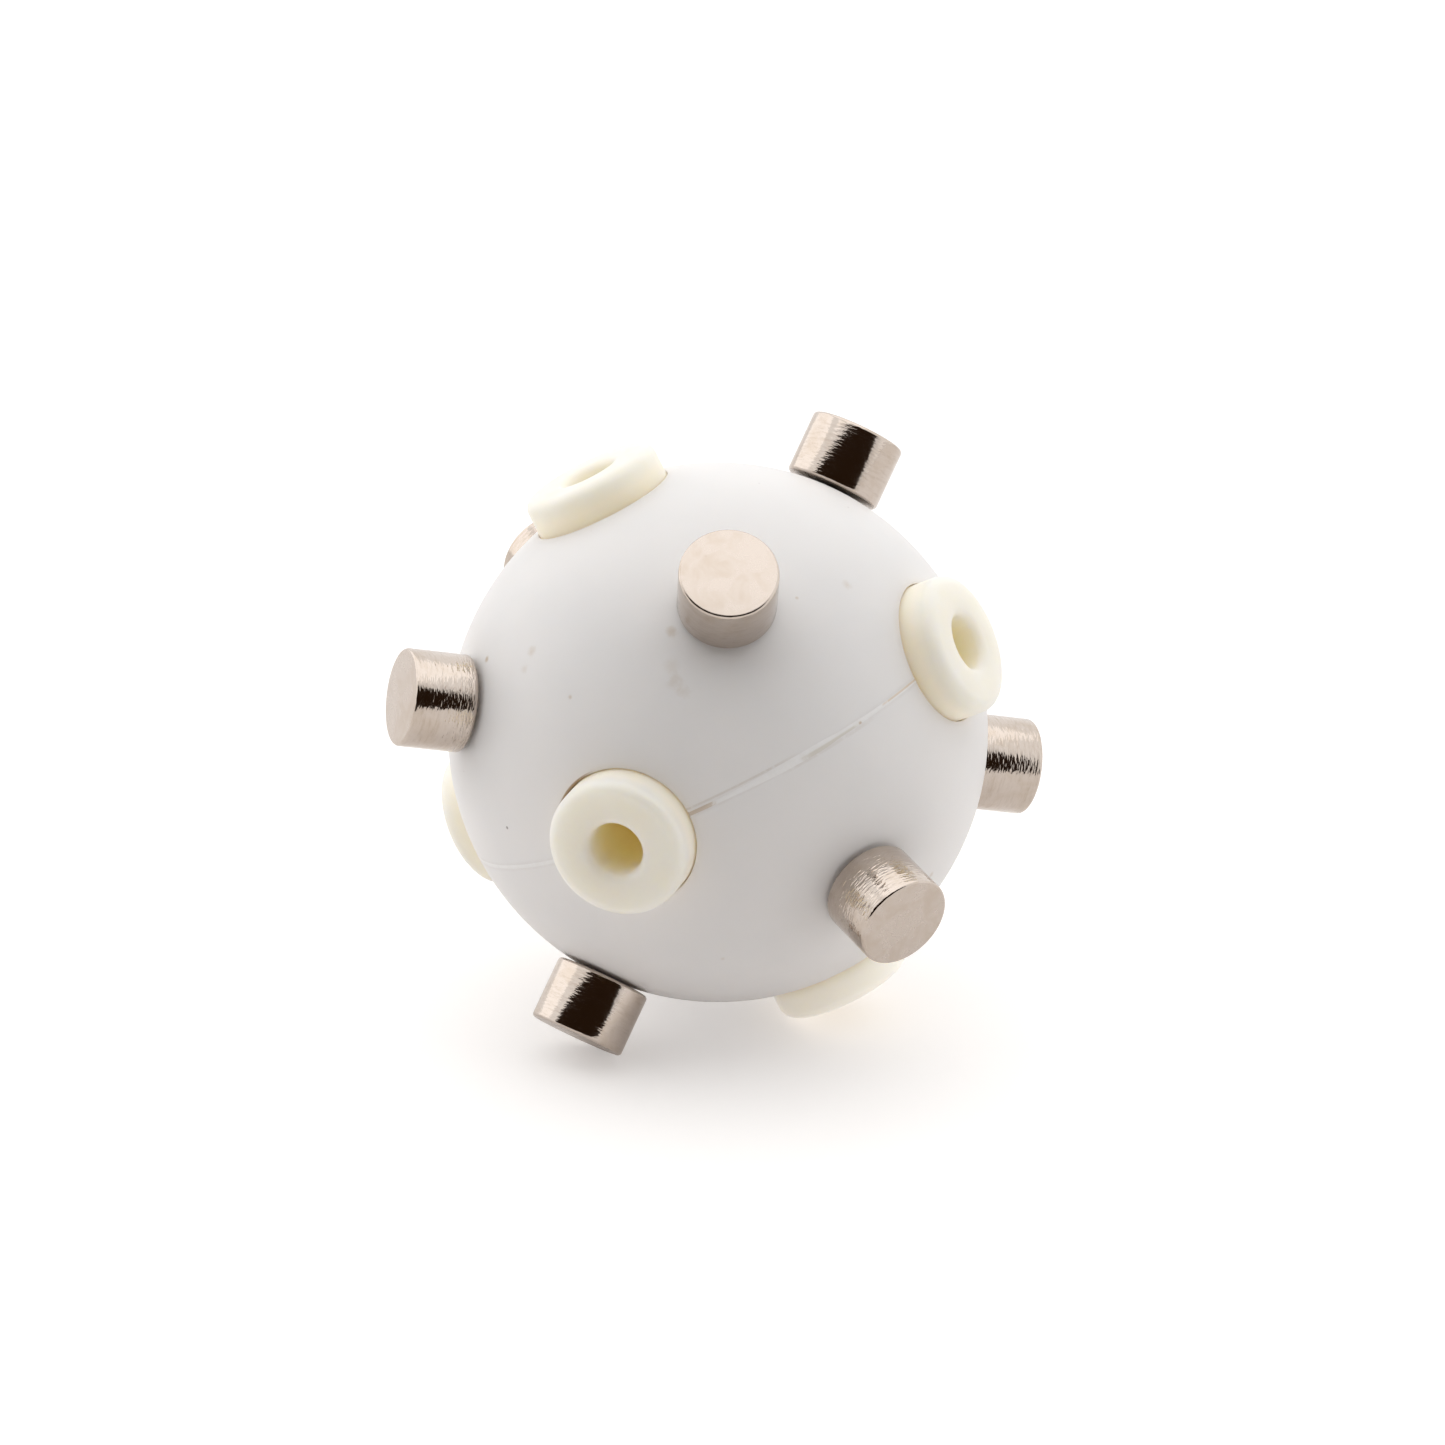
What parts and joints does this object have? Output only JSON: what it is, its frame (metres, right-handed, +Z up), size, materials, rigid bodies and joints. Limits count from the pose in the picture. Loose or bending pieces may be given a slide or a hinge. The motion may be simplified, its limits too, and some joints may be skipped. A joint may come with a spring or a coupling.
{
  "type": "magnetic ball core",
  "caption": "Ball with hidden magnets round a six-arm spider, whose drilled posts stand out of it, and cylinder magnets that cling to its skin.",
  "frame": {"origin": "on the surface it stands on, under the ball's centre", "axes": "+Z up as the core stands, leaning on its bottom post and two magnets. -Y along the front post's axis, which is level. +X to the right when seen from the front."},
  "size_m": [0.027, 0.0274, 0.0269],
  "materials": {
    "ball_plastic": "satin",
    "spider_plastic": "satin",
    "nickel_plate": "satin"
  },
  "bodies": {
    "ball": {"upper_shell": "ball_plastic", "lower_shell": "ball_plastic", "spider": "spider_plastic", "inner_magnet_a": "nickel_plate", "inner_magnet_b": "nickel_plate", "inner_magnet_c": "nickel_plate", "inner_magnet_d": "nickel_plate", "inner_magnet_e": "nickel_plate", "inner_magnet_f": "nickel_plate", "inner_magnet_g": "nickel_plate", "inner_magnet_h": "nickel_plate"},
    "magnet_a": {"outer_magnet_a": "nickel_plate"},
    "magnet_b": {"outer_magnet_b": "nickel_plate"},
    "magnet_c": {"outer_magnet_c": "nickel_plate"},
    "magnet_d": {"outer_magnet_d": "nickel_plate"},
    "magnet_e": {"outer_magnet_e": "nickel_plate"},
    "magnet_f": {"outer_magnet_f": "nickel_plate"},
    "magnet_g": {"outer_magnet_g": "nickel_plate"},
    "magnet_h": {"outer_magnet_h": "nickel_plate"}
  },
  "joints": [
    {"name": "pull_off_a", "type": "slide", "parent": "ball", "child": "magnet_a", "axis": [0.241, -0.5774, 0.7801], "range_m": [0, 0.008], "stiffness_N_per_m": 50, "springref_m": -0.02},
    {"name": "pull_off_b", "type": "slide", "parent": "ball", "child": "magnet_b", "axis": [0.7801, -0.5774, -0.241], "range_m": [0, 0.008], "stiffness_N_per_m": 50, "springref_m": -0.02},
    {"name": "pull_off_c", "type": "slide", "parent": "ball", "child": "magnet_c", "axis": [-0.7801, -0.5774, 0.241], "range_m": [0, 0.008], "stiffness_N_per_m": 50, "springref_m": -0.02},
    {"name": "pull_off_d", "type": "slide", "parent": "ball", "child": "magnet_d", "axis": [0.241, 0.5774, 0.7801], "range_m": [0, 0.008], "stiffness_N_per_m": 50, "springref_m": -0.02},
    {"name": "pull_off_e", "type": "slide", "parent": "ball", "child": "magnet_e", "axis": [0.7801, 0.5774, -0.241], "range_m": [0, 0.008], "stiffness_N_per_m": 50, "springref_m": -0.02},
    {"name": "pull_off_f", "type": "slide", "parent": "ball", "child": "magnet_f", "axis": [-0.241, -0.5774, -0.7801], "range_m": [0, 0.008], "stiffness_N_per_m": 50, "springref_m": -0.02},
    {"name": "pull_off_g", "type": "slide", "parent": "ball", "child": "magnet_g", "axis": [-0.7801, 0.5774, 0.241], "range_m": [0, 0.008], "stiffness_N_per_m": 50, "springref_m": -0.02},
    {"name": "pull_off_h", "type": "slide", "parent": "ball", "child": "magnet_h", "axis": [-0.241, 0.5774, -0.7801], "range_m": [0, 0.008], "stiffness_N_per_m": 50, "springref_m": -0.02}
  ]
}
